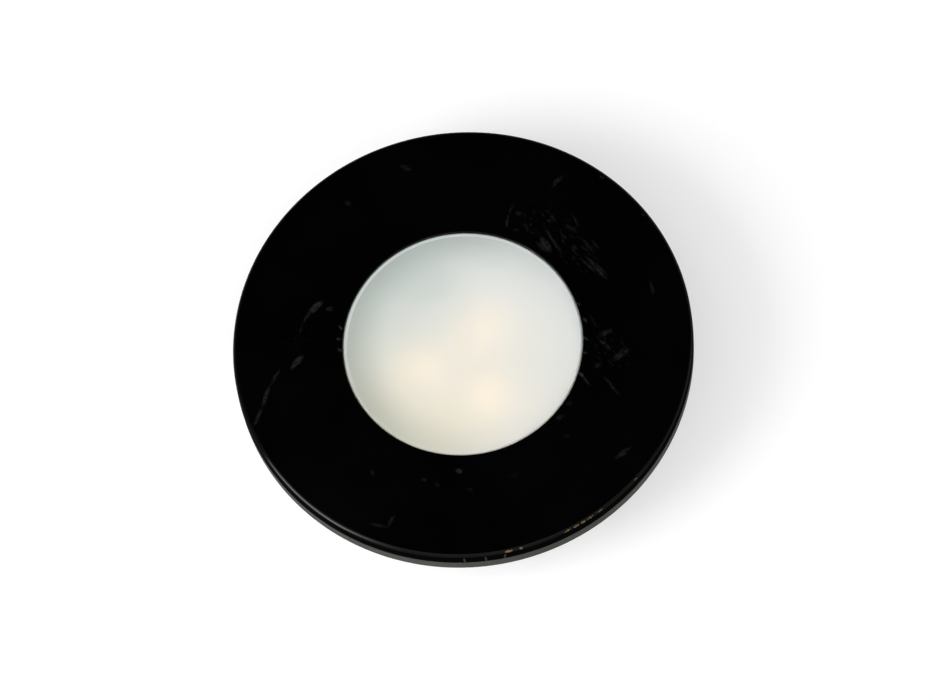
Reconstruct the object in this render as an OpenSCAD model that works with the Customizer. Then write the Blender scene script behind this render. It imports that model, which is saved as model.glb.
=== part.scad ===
// Recessed puck light: a black trim ring on a soft seal, with a flush frosted lens over three emitters.
// The origin is at the centre of the rear face, and +Z points out through the lens.
// Parts are placed by an angle round the Z axis, counted from +X. The cable leaves at 90 degrees.

/* [Trim ring] */
// Outside diameter of the trim ring
trim_d = 70; // [69:1:80]
// Thickness of the trim ring at its outer lip
trim_t = 2.2; // [2.1:0.1:3]
// Radius of the front outer edge
front_edge_r = 0.6; // [0.3:0.1:0.9]
// Diameter of the window that the lens fills
window_d = 36.6; // [34:0.2:38]
// Radial width of the lip that seats on the panel
seat_lip_w = 2.4; // [1.6:0.1:2.8]
// Thickness of the soft seal between the lip and the panel
seal_t = 2.4; // [1.6:0.1:2.6]

/* [Housing] */
// Distance from the rear face to the front face
depth = 14; // [14:0.5:18]
// Outside diameter of the housing
body_d = 58.5; // [58.5:0.5:60]
// Thickness of the housing's side wall
wall_t = 1.6; // [1.4:0.1:1.8]
// Thickness of the housing's floor
floor_t = 1.8; // [1.6:0.1:2]
// Number of cooling ribs in the rear face
rib_n = 18; // [12:6:24]
// Depth of the grooves between the ribs
groove_depth = 0.8; // [0.4:0.1:1]

/* [Light engine] */
// Diameter of the circle that the emitters stand on
led_circle_d = 14; // [12:0.5:15]
// Side of an emitter's square base
led_w = 3.5; // [2.8:0.1:3.8]
// Thickness of the metal-core board
board_t = 1.6; // [1:0.1:2]
// Thickness of the reflector's wall, measured level
reflector_t = 1.15; // [0.9:0.05:1.3]

/* [Spring clips] */
// Width of a clip's strip
clip_w = 7; // [5.6:0.2:8]
// Thickness of a clip's strip
clip_t = 0.4; // [0.3:0.05:0.5]
// Angle at which a clip's free leg leans outwards
clip_lean = 17.4; // [12:0.2:19]

/* [Cable gland] */
// Diameter of the bore for the cable
cable_d = 3; // [2.4:0.2:3.2]

/* [Hidden] */
$fn = 96;
count = 3;

// Working clearances: between faces that slide, round a shank in its hole, and round one that passes freely
slide = 0.1;
snug = 0.02;
free = 0.15;
// How far a cut runs past a face, and how far an added wall sinks into its neighbour
past = 1;
sink = 0.5;

// Angles of what repeats round the axis
screw_angles = [0, 120, 240];
clip_angles = [60, 180, 300];
led_angles = [60, 180, 300];
peg_angles = [0, 180];
board_screw_angles = [30, 210];
cable_angle = 90;
bridge_angle = 128;
capacitor_angle = 154;
regulator_angle = 330;
resistor_angles = [260, 280];

// Heights of the stack, from the rear face forwards
pad_t = 0.2;
board_z = floor_t + pad_t;
board_top = board_z + board_t;
lip_t = 1.2;
gasket_t = 0.3;
lens_flange_t = 1;
lip_z = depth - lip_t;
lens_flange_z = lip_z - gasket_t - lens_flange_t;
seat_z = depth - trim_t;
relief = 0.6;
rim_z = seat_z + relief;

// Radii, from the axis outwards
window_r = window_d / 2;
lens_r = window_r - slide;
lens_flange_w = 2.2;
lens_flange_r = lens_r + lens_flange_w;
nest_r = lens_flange_r + 2 * slide;
nest_wall = 1.6;
body_r = body_d / 2;
body_in_r = body_r - wall_t;
skirt_r = body_in_r - 1.5 * slide;
skirt_t = 1.6;
trim_r = trim_d / 2;

// Pillars and the screws that join the ring to the housing
pillar_r = 3.4;
pillar_sink = 0.15;
screw_circle_r = body_in_r - pillar_r + pillar_sink;
boss_r = 2.5;
joint_depth = 4.4;
joint_z = depth - joint_depth;
face_skin = 1.1;
screw_r = 1.25;
head_r = 2.3;
head_h = 1.6;
counterbore_r = 2.7;
counterbore_z = 2.2;

// Board and what stands on it
board_gap = 0.4;
board_r = screw_circle_r - pillar_r - board_gap;
board_screw_circle_r = board_r - 3.1;
peg_circle_r = 12.6;
peg_r = 0.8;

// Pockets and pads for the clips
pocket_depth = 1.25;
pocket_x = body_r - pocket_depth;
pocket_gap = 0.3;
clip_pad_t = 2.2;
clip_pad_w = clip_w + 3;
clip_top = joint_z - 1;
clip_bend_r = 0.6;
clip_bend_z = 1.6;
clip_lean_l = 7.5;
clip_curl_r = 1.2;
clip_reach = clip_t + clip_bend_r * (1 + cos(clip_lean)) + clip_lean_l * sin(clip_lean)
    + clip_curl_r * (1 - cos(clip_lean));
clip_corner_r = norm([pocket_x + clip_reach, clip_w / 2]);
rivet_z = clip_bend_z + 3.6;
rivet_r = 1;
rivet_head_r = 1.9;
rivet_head_h = 0.8;
rivet_tail_r = 1.6;
rivet_access_r = 2.1;

// Recess, wall and gland for the cable
recess_w = 10;
recess_depth = 3.75;
recess_y = body_r - recess_depth;
recess_top = joint_z - 1;
gland_neck_r = cable_d / 2 + 1;
gland_flange_r = gland_neck_r + 0.9;
gland_flange_t = 1.2;
gland_tail_r = gland_neck_r + 0.5;
gland_tail_t = 1;
gland_z = (floor_t + gland_tail_r + recess_top - gland_flange_r) / 2;

// Places its children at an angle round the axis, at a radius and a height
module at(angle, r = 0, z = 0) {
    rotate(angle) translate([r, 0, z]) children();
}

// Turned ring between two radii and two heights
module ring(r_in, r_out, z_low, z_high) {
    rotate_extrude() translate([r_in, z_low]) square([r_out - r_in, z_high - z_low]);
}

// What is cut from a square corner to leave it round, with the arc's centre at the origin
module corner_waste(r) {
    difference() {
        square(r + past);
        circle(r);
    }
}

// Metal left in an inside corner, which is at the origin
module corner_fillet(r) {
    difference() {
        square(r);
        translate([r, r]) circle(r);
    }
}

// Section of the trim ring: flange, lens nest and skirt
module bezel_section() {
    nest_foot = joint_z + 0.7;
    skirt_foot = joint_z + 0.2;
    seat_bevel = 0.3;
    skirt_bevel = 0.5;
    difference() {
        union() {
            translate([window_r, rim_z]) square([trim_r - window_r, depth - rim_z]);
            translate([trim_r - seat_lip_w, seat_z]) square([seat_lip_w, relief + sink]);
            translate([nest_r, nest_foot]) square([nest_wall, rim_z + sink - nest_foot]);
            translate([skirt_r - skirt_t, skirt_foot]) square([skirt_t, rim_z + sink - skirt_foot]);
        }
        translate([0, rim_z - past]) square([nest_r, lip_z - rim_z + past]);
        translate([trim_r - front_edge_r, depth - front_edge_r]) corner_waste(front_edge_r);
        translate([trim_r, seat_z]) rotate(45) square(seat_bevel, center = true);
        translate([skirt_r, skirt_foot]) rotate(45) square(skirt_bevel, center = true);
    }
}

// Black trim ring, cast in one piece with the nest for the lens and the screw bosses
module bezel() {
    color([0.03, 0.03, 0.035])
    difference() {
        union() {
            rotate_extrude() bezel_section();
            for (a = screw_angles) {
                at(a, screw_circle_r, joint_z + slide) cylinder(r = boss_r, h = rim_z + sink - joint_z);
            }
        }
        for (a = screw_angles) {
            at(a, screw_circle_r, joint_z - past)
            cylinder(r = screw_r + snug, h = depth - face_skin - joint_z + past);
        }
    }
}

// Soft ring under the lip, which the clips draw against the panel; it stays clear of their corners
module panel_seal() {
    inset = 0.1;
    inner_r = max(trim_r - seat_lip_w, clip_corner_r + slide);
    color([0.25, 0.26, 0.24])
    ring(inner_r, trim_r - inset, seat_z - seal_t, seat_z);
}

// Frosted lens: a disc that fills the window, on a flange that is held behind the lip
module lens() {
    edge_r = 0.4;
    dish_r = lens_r - 1;
    dish_depth = 0.9;
    color([0.86, 0.89, 0.85])
    rotate_extrude() difference() {
        union() {
            translate([0, lens_flange_z]) square([lens_flange_r, lens_flange_t]);
            translate([0, lens_flange_z]) square([lens_r, depth - lens_flange_z]);
        }
        translate([0, lens_flange_z - past]) square([dish_r, dish_depth + past]);
        translate([lens_r - edge_r, depth - edge_r]) corner_waste(edge_r);
    }
}

// Soft ring between the lens flange and the lip
module lens_gasket() {
    inset = 0.7;
    color([0.12, 0.12, 0.12])
    ring(lens_r + inset, lens_flange_r, lip_z - gasket_t, lip_z);
}

// White cup: its flare starts round the emitters and ends in a flange under the lens
module reflector() {
    throat_r = 10.2;
    flange_t = 0.8;
    flare_h = lens_flange_z - board_top;
    mouth_r = lens_r + 2 * slide;
    slope = (mouth_r - throat_r) / flare_h;
    lug_r = 1.3;
    lug_h = 2.4;
    peg_depth = board_t - slide;
    color([0.95, 0.95, 0.94])
    union() {
        rotate_extrude() polygon([
            [throat_r, board_top],
            [throat_r + reflector_t, board_top],
            [throat_r + reflector_t + slope * (flare_h - flange_t), lens_flange_z - flange_t],
            [lens_flange_r, lens_flange_z - flange_t],
            [lens_flange_r, lens_flange_z],
            [mouth_r, lens_flange_z]
        ]);
        difference() {
            for (a = peg_angles) {
                at(a, peg_circle_r, board_top) cylinder(r = lug_r, h = lug_h);
            }
            translate([0, 0, board_top - past])
            cylinder(
                r1 = throat_r + reflector_t / 2 - slope * past,
                r2 = mouth_r + reflector_t / 2,
                h = flare_h + past
            );
        }
        for (a = peg_angles) {
            at(a, peg_circle_r, board_top - peg_depth) cylinder(r = peg_r, h = peg_depth + past);
        }
    }
}

// Round metal-core board with holes for its screws and for the reflector's pegs
module led_board() {
    color([0.93, 0.94, 0.92])
    difference() {
        translate([0, 0, board_z]) cylinder(r = board_r, h = board_t);
        for (a = board_screw_angles) {
            at(a, board_screw_circle_r, board_z - past)
            cylinder(r = screw_r + free, h = board_t + 2 * past);
        }
        for (a = peg_angles) {
            at(a, peg_circle_r, board_z - past) cylinder(r = peg_r + snug, h = board_t + 2 * past);
        }
    }
}

// Thin pad that carries heat from the board to the housing
module thermal_pad() {
    margin = 1;
    hole_r = screw_r + 0.5;
    color([0.55, 0.6, 0.68])
    difference() {
        translate([0, 0, floor_t]) cylinder(r = board_r - margin, h = pad_t);
        for (a = board_screw_angles) {
            at(a, board_screw_circle_r, floor_t - past) cylinder(r = hole_r, h = pad_t + 2 * past);
        }
    }
}

// Emitter: a square ceramic base under a clear dome
module led(i) {
    base_h = 0.7;
    dome_r = led_w * 0.41;
    color([0.96, 0.86, 0.5])
    at(led_angles[i - 1], led_circle_d / 2, board_top) {
        translate([-led_w / 2, -led_w / 2, 0]) cube([led_w, led_w, base_h]);
        rotate_extrude() translate([0, base_h / 2]) intersection() {
            square([dome_r, dome_r + base_h]);
            union() {
                square([dome_r, base_h / 2]);
                translate([0, base_h / 2]) circle(dome_r);
            }
        }
    }
}

// Cup of the housing: floor, side wall and their rounded corners
module housing_cup() {
    rear_edge_r = 0.8;
    inside_r = 0.5;
    rotate_extrude() {
        difference() {
            square([body_r, rim_z]);
            translate([0, floor_t]) square([body_in_r, rim_z]);
            translate([body_r - rear_edge_r, rear_edge_r]) mirror([0, 1]) corner_waste(rear_edge_r);
        }
        translate([body_in_r, floor_t]) mirror([1, 0]) corner_fillet(inside_r);
    }
}

// Grooves in the rear face, with straight ribs and the pads of the board screws left standing
module rear_grooves() {
    groove_in_r = 7;
    land = 0.7;
    groove_out_r = screw_circle_r - counterbore_r - land;
    rib_t = 1.2;
    pad_r = 2.8;
    translate([0, 0, -past]) linear_extrude(groove_depth + past) difference() {
        circle(groove_out_r);
        circle(groove_in_r);
        for (i = [0:rib_n - 1]) {
            at(i * 360 / rib_n) translate([0, -rib_t / 2]) square([body_r, rib_t]);
        }
        for (a = board_screw_angles) {
            at(a, board_screw_circle_r) circle(pad_r);
        }
    }
}

// Thick wall behind a clip, and the pocket that its fixed leg lies in
module clip_pad() {
    translate([pocket_x - clip_pad_t, -clip_pad_w / 2, 0]) cube([clip_pad_t + sink, clip_pad_w, joint_z]);
}

module clip_pocket() {
    pocket_w = clip_w + 2 * pocket_gap;
    translate([pocket_x, -pocket_w / 2, -past]) cube([body_r, pocket_w, clip_top + 2 * pocket_gap + past]);
}

// Inner walls of the cable recess, and the recess itself, which is open to the rear
module cable_box() {
    box_w = recess_w + 2 * wall_t;
    side_l = 2.6;
    translate([-box_w / 2, recess_y - wall_t, 0]) cube([box_w, wall_t + side_l, joint_z]);
}

module cable_recess() {
    translate([-recess_w / 2, recess_y, -past]) cube([recess_w, body_r, recess_top + past]);
}

// Die-cast rear housing
module housing() {
    color([0.72, 0.73, 0.74])
    difference() {
        union() {
            housing_cup();
            for (a = screw_angles) {
                at(a, screw_circle_r) cylinder(r = pillar_r, h = joint_z);
            }
            for (a = clip_angles) {
                at(a) clip_pad();
            }
            cable_box();
        }
        rear_grooves();
        for (a = screw_angles) {
            at(a, screw_circle_r, -past) {
                cylinder(r = screw_r + free, h = joint_z + 2 * past);
                cylinder(r = counterbore_r, h = counterbore_z + past);
            }
        }
        for (a = clip_angles) {
            at(a) clip_pocket();
            at(a, pocket_x - clip_pad_t - past, rivet_z) rotate([0, 90, 0])
            cylinder(r = rivet_r + snug, h = clip_pad_t + 2 * past);
        }
        for (a = board_screw_angles) {
            at(a, board_screw_circle_r, -past) cylinder(r = screw_r + snug, h = floor_t + 2 * past);
        }
        cable_recess();
        translate([0, recess_y - wall_t - past, gland_z]) rotate([-90, 0, 0])
        cylinder(r = gland_neck_r + snug, h = wall_t + 2 * past);
    }
}

// Rubber gland: a neck in the wall between an outer and an inner flange
module cable_grommet() {
    edge_r = 0.4;
    length = gland_tail_t + wall_t + gland_flange_t;
    color([0.08, 0.08, 0.08])
    translate([0, recess_y - wall_t - gland_tail_t, gland_z]) rotate([-90, 0, 0])
    rotate_extrude() difference() {
        union() {
            square([gland_neck_r, length]);
            square([gland_tail_r, gland_tail_t]);
            translate([0, gland_tail_t + wall_t]) square([gland_flange_r, gland_flange_t]);
        }
        translate([0, -past]) square([cable_d / 2, length + 2 * past]);
        translate([gland_flange_r - edge_r, length - edge_r]) corner_waste(edge_r);
    }
}

// Arc of a bent strip, which starts at the origin towards +X and turns left
module strip_arc(r, angle) {
    reach = 2 * (r + clip_t);
    translate([0, r]) intersection() {
        difference() {
            circle(r + clip_t / 2);
            circle(r - clip_t / 2);
        }
        polygon(concat([[0, 0]], [for (k = [0:3]) reach * [sin(angle * k / 3), -cos(angle * k / 3)]]));
    }
}

// Strip drawn from its steps, each a straight length, then a bend's radius and its angle
module bent_strip(steps, i = 0) {
    if (i < len(steps)) {
        straight = steps[i][0];
        r = steps[i][1];
        angle = steps[i][2];
        translate([0, -clip_t / 2]) square([straight, clip_t]);
        translate([straight, 0]) {
            if (angle > 0) {
                strip_arc(r, angle);
            }
            translate([0, r]) rotate(angle) translate([0, -r]) bent_strip(steps, i + 1);
        }
    }
}

// Leaf clip: a fixed leg in its pocket, a hairpin at the rear and a leaning leg that ends in a curl
module spring_clip(i) {
    curl_angle = 50;
    tip_l = 0.8;
    mid_x = pocket_x + clip_t / 2;
    legs_apart = 4;
    color([0.8, 0.8, 0.82])
    at(clip_angles[i - 1]) difference() {
        translate([0, clip_w / 2, 0]) rotate([90, 0, 0]) linear_extrude(clip_w)
        translate([mid_x, clip_top]) rotate(-90) bent_strip([
            [clip_top - clip_bend_z, clip_bend_r, 180 - clip_lean],
            [clip_lean_l, clip_curl_r, curl_angle],
            [tip_l, clip_curl_r, 0]
        ]);
        translate([pocket_x - past, 0, rivet_z]) rotate([0, 90, 0])
        cylinder(r = rivet_r + snug, h = clip_t + past + slide);
        translate([pocket_x + clip_t + slide, 0, rivet_z]) rotate([0, 90, 0])
        cylinder(r = rivet_access_r, h = legs_apart);
    }
}

// Rivet: a round head on the clip's leg, and a tail that is spread inside the housing
module clip_rivet(i) {
    grip = clip_pad_t + clip_t;
    tail_h = 0.7;
    color([0.75, 0.75, 0.77])
    at(clip_angles[i - 1], pocket_x - clip_pad_t, rivet_z) rotate([0, 90, 0])
    rotate_extrude() {
        translate([0, -tail_h]) square([rivet_tail_r, tail_h]);
        square([rivet_r, grip]);
        translate([0, grip]) difference() {
            square([rivet_head_r, rivet_head_h]);
            translate([rivet_head_r - rivet_head_h, 0]) corner_waste(rivet_head_h);
        }
    }
}

// Cross recess of a screw, sunk from the origin
module cross_recess(size, slot_w, deep) {
    for (a = [0, 90]) {
        rotate(a) translate([-size / 2, -slot_w / 2, -deep]) cube([size, slot_w, deep + past]);
    }
}

// Pan-head screw: the shank points up from the origin, where its head seats
module pan_screw(shank_l) {
    edge_r = 0.6;
    cross_w = 2.8;
    slot_w = 0.7;
    cross_depth = 1;
    difference() {
        rotate_extrude() {
            square([screw_r, shank_l]);
            difference() {
                translate([0, -head_h]) square([head_r, head_h]);
                translate([head_r - edge_r, edge_r - head_h]) mirror([0, 1]) corner_waste(edge_r);
            }
        }
        translate([0, 0, -head_h]) mirror([0, 0, 1]) cross_recess(cross_w, slot_w, cross_depth);
    }
}

// Screw that draws the housing to the ring, driven from the rear
module bezel_screw(i) {
    tip_gap = 0.5;
    color([0.7, 0.7, 0.68])
    at(screw_angles[i - 1], screw_circle_r, counterbore_z)
    pan_screw(depth - face_skin - tip_gap - counterbore_z);
}

// Screw that holds the board to the floor
module board_screw(i) {
    tip_z = 0.2;
    color([0.7, 0.7, 0.68])
    at(board_screw_angles[i - 1], board_screw_circle_r, board_top) mirror([0, 0, 1])
    pan_screw(board_top - tip_z);
}

// Push-in terminal with two wire ways that face the gland, and their release slots
module wire_terminal() {
    size = [4.6, 6, 2.9];
    edge_gap = 1.1;
    way_r = 0.8;
    way_pitch = 2.8;
    slot = [1.6, 1, 0.5];
    slot_x = -1.4;
    color([0.92, 0.92, 0.9])
    at(cable_angle, board_r - edge_gap - size.x / 2, board_top) difference() {
        translate([-size.x / 2, -size.y / 2, 0]) cube(size);
        for (side = [-1, 1]) {
            translate([0, side * way_pitch / 2, 0]) {
                translate([0, 0, size.z / 2]) rotate([0, 90, 0]) cylinder(r = way_r, h = size.x);
                translate([slot_x, -slot.y / 2, size.z - slot.z]) cube([slot.x, slot.y, slot.z + past]);
            }
        }
    }
}

// Moulded package with bent leads on two sides
module leaded_package(size, lead_ys, lead_w) {
    lead_t = 0.2;
    lead_out = 0.8;
    lead_in = 0.2;
    translate([-size.x / 2, -size.y / 2, lead_t]) cube([size.x, size.y, size.z - lead_t]);
    for (side = [0, 1]) {
        for (y = lead_ys[side]) {
            mirror([1 - side, 0, 0]) translate([size.x / 2 - lead_in, y - lead_w / 2, 0]) {
                cube([lead_out + lead_in, lead_w, lead_t]);
                cube([lead_t + lead_in, lead_w, size.z / 2]);
            }
        }
    }
}

// Bridge rectifier, so that the two wires can go either way round
module bridge_rectifier() {
    size = [3.8, 4.7, 2.4];
    edge_gap = 1.2;
    lead_w = 0.7;
    leads = [-1.3, 1.3];
    color([0.1, 0.1, 0.1])
    at(bridge_angle, board_r - edge_gap - size.x / 2, board_top)
    leaded_package(size, [leads, leads], lead_w);
}

// Linear current regulator with three leads and a cooling tab
module current_regulator() {
    size = [2.5, 4.5, 1.5];
    edge_gap = 1.4;
    lead_w = 0.5;
    pitch = 1.5;
    color([0.1, 0.1, 0.1])
    at(regulator_angle, board_r - edge_gap - size.x / 2, board_top)
    leaded_package(size, [[0], [-pitch, 0, pitch]], lead_w);
}

// Chip part: a body between two end caps that stand a little proud
module chip(size, cap_l) {
    proud = 0.05;
    translate([-size.x / 2, -size.y / 2, proud]) cube([size.x, size.y, size.z - proud]);
    for (side = [0, 1]) {
        mirror([0, side, 0])
        translate([-size.x / 2 - proud, size.y / 2 - cap_l, 0])
        cube([size.x + 2 * proud, cap_l + proud, size.z + proud]);
    }
}

// Ceramic capacitor across the supply
module input_capacitor() {
    size = [2.5, 3.2, 1.9];
    cap_l = 0.6;
    edge_gap = 1.35;
    color([0.62, 0.5, 0.38])
    at(capacitor_angle, board_r - edge_gap - size.x / 2, board_top) chip(size, cap_l);
}

// Resistors that set the regulator's current
module sense_resistor(i) {
    size = [1.6, 3.2, 0.6];
    cap_l = 0.5;
    edge_gap = 1.6;
    color([0.13, 0.13, 0.14])
    at(resistor_angles[i - 1], board_r - edge_gap - size.x / 2, board_top) chip(size, cap_l);
}

bezel();
panel_seal();
lens();
lens_gasket();
reflector();
led_board();
thermal_pad();
housing();
cable_grommet();
for (i = [1:count]) {
    led(i);
    spring_clip(i);
    clip_rivet(i);
    bezel_screw(i);
}
for (i = [1:2]) {
    board_screw(i);
    sense_resistor(i);
}
wire_terminal();
bridge_rectifier();
input_capacitor();
current_regulator();
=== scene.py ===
import math

import bmesh
import bpy
from mathutils import Matrix, Vector


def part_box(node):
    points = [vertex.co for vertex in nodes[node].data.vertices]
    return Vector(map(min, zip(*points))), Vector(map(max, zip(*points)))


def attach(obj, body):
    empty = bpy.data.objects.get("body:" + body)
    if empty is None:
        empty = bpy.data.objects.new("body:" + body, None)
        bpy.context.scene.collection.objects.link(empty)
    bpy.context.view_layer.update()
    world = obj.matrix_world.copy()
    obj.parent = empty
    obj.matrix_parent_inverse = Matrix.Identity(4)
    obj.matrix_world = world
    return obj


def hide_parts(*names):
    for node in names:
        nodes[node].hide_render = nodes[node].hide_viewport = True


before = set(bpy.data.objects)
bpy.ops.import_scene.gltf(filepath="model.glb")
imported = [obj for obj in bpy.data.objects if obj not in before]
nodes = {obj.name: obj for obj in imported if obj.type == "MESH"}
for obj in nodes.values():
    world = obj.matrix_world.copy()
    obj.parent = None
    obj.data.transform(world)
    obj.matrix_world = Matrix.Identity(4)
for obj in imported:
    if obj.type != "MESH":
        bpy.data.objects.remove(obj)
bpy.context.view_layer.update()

MM = 0.001

# Sizes read from the frame
TRIM_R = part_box("bezel")[1].x
FACE_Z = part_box("bezel")[1].z
LENS_FLANGE_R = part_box("lens")[1].x
LENS_BACK_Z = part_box("lens")[0].z
RIM_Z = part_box("housing")[1].z
BODY_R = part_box("housing")[1].x
GASKET_TOP_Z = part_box("lens_gasket")[1].z
SEAL_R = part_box("panel_seal")[1].x
SEAL_LOW_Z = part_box("panel_seal")[0].z
SEAT_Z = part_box("panel_seal")[1].z
BOSS_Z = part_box("bezel")[0].z
BOARD_TOP_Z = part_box("led_1")[0].z
DOME_TOP_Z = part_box("led_1")[1].z
SCREW_LOW, SCREW_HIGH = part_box("bezel_screw_1")
SCREW_CIRCLE_R = (SCREW_LOW.x + SCREW_HIGH.x) / 2
BOARD_SCREW_LOW, BOARD_SCREW_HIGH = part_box("board_screw_1")
BOARD_SCREW_PLACE = (BOARD_SCREW_LOW + BOARD_SCREW_HIGH) / 2
LED_LOW, LED_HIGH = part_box("led_2")
LED_CIRCLE_R = -(LED_LOW.x + LED_HIGH.x) / 2
LED_SIDE = LED_HIGH.y - LED_LOW.y
RIVET_LOW, RIVET_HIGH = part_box("clip_rivet_2")
CLIP_POCKET_R = -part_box("spring_clip_2")[1].x

# Sizes of the ring and lens that no box gives
LENS_R = LENS_FLANGE_R - 2.2 * MM
WINDOW_R = LENS_R + 0.1 * MM
LENS_FLANGE_T = 1.0 * MM
SEAT_LIP_W = 2.4 * MM
SKIRT_R = 27.5 * MM
SKIRT_T = 1.6 * MM
NEST_R = LENS_FLANGE_R + 0.2 * MM
NEST_T = 1.6 * MM
FRONT_EDGE_R = 0.6 * MM
BOSS_R = 2.5 * MM
PILOT_R = 1.27 * MM

# Sizes of the fasteners and emitters that no box gives
SCREW_R = 1.25 * MM
SCREW_HEAD_R = 2.3 * MM
SCREW_HEAD_H = 1.6 * MM
THREAD_PITCH = 0.8 * MM
RIVET_R = 1.0 * MM
RIVET_TAIL_R = 1.6 * MM
RIVET_TAIL_H = 0.7 * MM
RIVET_HEAD_H = 0.8 * MM
EMITTER_BASE_H = 0.7 * MM

# The board's raised copper tracks, and the height that a package's leads reach
CORE_TRACK_R = 3.4 * MM
RING_TRACK_R = (9.3 * MM, 13.4 * MM)
LEAD_TOP_Z = BOARD_TOP_Z + 0.2 * MM

# Marks that the die and the facing tool leave on the housing's rear face
EJECTOR_ANGLES = (30, 45, 150, 195, 210, 270, 315, 330)
EJECTOR_CIRCLE_R = 25.3 * MM
EJECTOR_R = 1.2 * MM
GATE_R = 5.6 * MM
FACING_FEED = 0.24 * MM

# Directions of the lens's painted light and shade: duller, darker at its rim, cooler and whiter
LENS_PAINTED_DULL_SIDE = (-0.84, 0.54, 0)
LENS_SHADED_SIDE = (-0.93, 0.37, 0)
LENS_COOL_SIDE = (0.1, 0.99, 0)
LENS_PAINTED_LIGHT_SIDE = (0.89, -0.45, 0)
# The point of the lens round which a painted glow is brightest
LENS_PAINTED_GLOW_POINT = (-1.5 * MM, -2.5 * MM, FACE_Z)
# A duller patch on the lens: middle, length and width in the photograph's pixels
LENS_DULL_PATCH = (420.0, 283.0, 96.0, 66.0)

# The photograph's frame, and where the ring's face lies in it
PHOTO_W = 933
PHOTO_H = 700
FACE_CENTRE_PX = (462.7, 343.3)
PX_PER_MM = 6.59
CAMERA_AZIMUTH = math.radians(5.6)
CAMERA_ELEVATION = math.radians(67.4)
CAMERA_ROLL = math.radians(-9.95)
CAMERA_DISTANCE = 2.8

# Scuffs on the face, by the photograph's pixels: both ends, width in pixels, strength from 0 to 1
SCUFFS_ABOVE_LENS = (
    (514.7, 201.0, 509.0, 213.5, 2.0, 0.40), (509.0, 213.5, 505.9, 229.4, 2.4, 0.50),
    (543.0, 224.0, 564.0, 257.0, 3.0, 0.45), (541.0, 238.0, 551.0, 251.0, 5.5, 0.75),
    (535.0, 241.0, 549.0, 253.0, 3.0, 0.45), (565.0, 223.0, 579.0, 233.0, 2.2, 0.35),
    (572.5, 213.0, 579.4, 228.0, 2.0, 0.40), (582.0, 237.0, 595.0, 254.5, 2.4, 0.45),
    (591.0, 238.5, 600.0, 250.0, 2.2, 0.45), (584.0, 254.0, 609.0, 282.0, 3.2, 0.70),
    (579.0, 257.0, 598.0, 274.0, 2.6, 0.50), (595.0, 262.0, 608.5, 276.5, 2.6, 0.50),
    (517.0, 213.0, 523.0, 213.5, 4.0, 0.35), (524.5, 220.0, 528.0, 232.0, 2.4, 0.28),
    (512.0, 230.0, 520.0, 229.5, 2.4, 0.30), (562.0, 176.0, 552.0, 186.5, 4.0, 0.45),
    (400.5, 165.0, 411.5, 169.5, 3.4, 0.42), (346.0, 203.0, 348.6, 202.6, 3.6, 0.42),
    (601.5, 176.0, 603.5, 177.5, 2.6, 0.60), (642.5, 213.0, 644.5, 215.0, 2.6, 0.50),
)
SCUFFS_LEFT = (
    (320.6, 302.8, 310.6, 311.5, 5.2, 0.90), (311.0, 311.0, 302.0, 323.0, 2.8, 0.45),
    (302.0, 323.0, 298.8, 335.6, 2.2, 0.30), (328.0, 309.4, 331.0, 308.6, 4.4, 0.45),
    (301.9, 356.0, 291.3, 368.4, 4.8, 0.75), (280.3, 368.4, 270.0, 386.0, 3.0, 0.42),
    (270.0, 385.0, 262.2, 407.5, 3.2, 0.60), (262.2, 406.5, 253.8, 427.8, 3.0, 0.48),
    (371.0, 470.5, 373.5, 474.5, 3.2, 0.30), (370.0, 522.5, 387.2, 527.0, 2.6, 0.34),
    (387.0, 527.0, 394.4, 514.4, 3.0, 0.42),
)
SCUFFS_RIGHT = (
    (599.7, 335.6, 611.3, 330.0, 4.0, 0.60), (598.8, 338.8, 610.6, 349.7, 2.8, 0.60),
    (613.8, 359.0, 627.8, 349.7, 6.0, 0.55), (602.0, 374.7, 620.6, 397.5, 2.6, 0.45),
    (581.0, 375.0, 590.3, 385.6, 2.6, 0.45), (596.0, 366.5, 599.5, 364.0, 3.6, 0.40),
    (612.2, 459.0, 627.8, 451.3, 2.4, 0.48), (616.9, 455.0, 630.9, 446.6, 2.4, 0.42),
    (650.6, 281.0, 653.8, 294.4, 3.0, 0.40), (588.8, 313.0, 598.0, 328.8, 2.0, 0.28),
    (556.0, 418.4, 563.8, 415.3, 3.6, 0.36), (565.0, 436.0, 567.5, 435.0, 3.2, 0.25),
    (568.0, 403.5, 571.0, 402.0, 3.4, 0.34),
)
SCUFFS_BELOW_LENS = (
    (457.5, 470.4, 460.5, 471.0, 4.0, 0.70), (421.0, 480.0, 425.0, 479.0, 3.4, 0.34),
    (435.5, 484.0, 439.0, 485.0, 3.2, 0.34), (512.0, 475.0, 516.0, 474.5, 3.0, 0.28),
    (468.5, 488.5, 471.5, 489.2, 3.0, 0.24),
)
# Areas with many fine flecks: middle, length and width in pixels, strength
FLECK_FIELDS = (
    (560.0, 238.0, 150.0, 62.0, 0.4), (611.0, 352.0, 90.0, 46.0, 0.35),
    (296.0, 330.0, 60.0, 50.0, 0.2),
)
# How the flecks head on the face
FLECK_HEADING = math.radians(-48)
# Specks of lint on the seam round the lens
SEAM_LINT = (
    (341.5, 329.0, 339.0, 326.5, 2.2, 1.1), (341.0, 339.5, 336.5, 339.0, 2.2, 1.2),
    (341.0, 351.0, 338.5, 349.0, 2.4, 0.8), (577.5, 303.0, 580.0, 305.0, 2.0, 0.7),
    (583.5, 318.0, 586.0, 321.5, 2.6, 0.8), (585.0, 337.0, 587.5, 340.0, 2.4, 0.8),
    (583.0, 352.0, 586.0, 353.5, 1.8, 1.3), (578.5, 372.0, 582.5, 376.0, 2.2, 1.3),
)
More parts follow.
